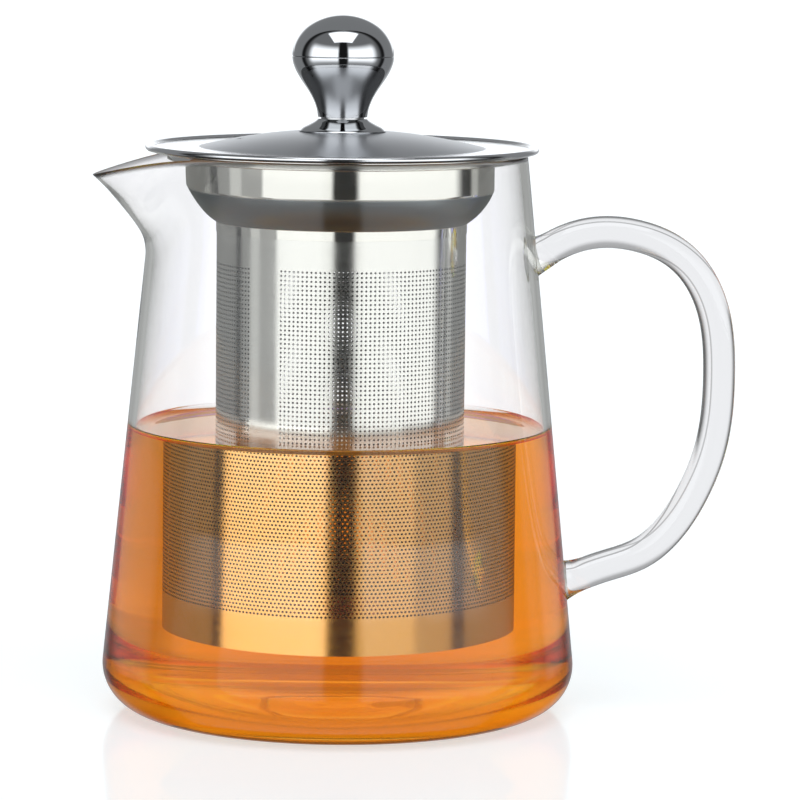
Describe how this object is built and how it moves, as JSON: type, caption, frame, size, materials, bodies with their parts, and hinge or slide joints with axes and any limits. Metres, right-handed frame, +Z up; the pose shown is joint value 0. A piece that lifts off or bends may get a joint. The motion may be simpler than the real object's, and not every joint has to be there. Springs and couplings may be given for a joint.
{
  "type": "glass teapot with infuser",
  "caption": "Tapered clear glass teapot with a pulled spout and solid glass rod handle, a lift-out steel strainer cylinder hung in its mouth, and a domed steel lid with a ball knob.",
  "frame": {"origin": "centre of the foot ring, on the axis of the pot in the plane it stands on", "axes": "+Z up along the pot's axis, -X towards the spout, +X towards the handle"},
  "size_m": [0.157, 0.115, 0.1687],
  "materials": {
    "clear_glass": "fire-polished clear borosilicate",
    "polished_steel": "polished stainless sheet",
    "strainer_steel": "punched stainless sheet",
    "satin_steel": "fine satin stainless sheet",
    "mirror_steel": "mirror-polished stainless steel",
    "hardware_steel": "plain machined steel"
  },
  "bodies": {
    "pot": {"glass_body": "clear_glass", "glass_handle": "clear_glass"},
    "infuser": {"infuser_collar": "polished_steel", "infuser_sleeve": "strainer_steel", "infuser_base": "strainer_steel"},
    "lid": {"lid_cover": "satin_steel", "lid_skirt": "satin_steel", "knob_foot": "mirror_steel", "knob_lower_shell": "mirror_steel", "knob_upper_shell": "mirror_steel", "knob_boss": "hardware_steel", "lid_washer": "hardware_steel", "lid_screw": "hardware_steel"}
  },
  "joints": [
    {"name": "infuser_lift", "type": "slide", "parent": "pot", "child": "infuser", "axis": [0, 0, 1], "range_m": [0, 0.135]},
    {"name": "lid_lift", "type": "slide", "parent": "infuser", "child": "lid", "axis": [0, 0, 1], "range_m": [0, 0.05]}
  ]
}
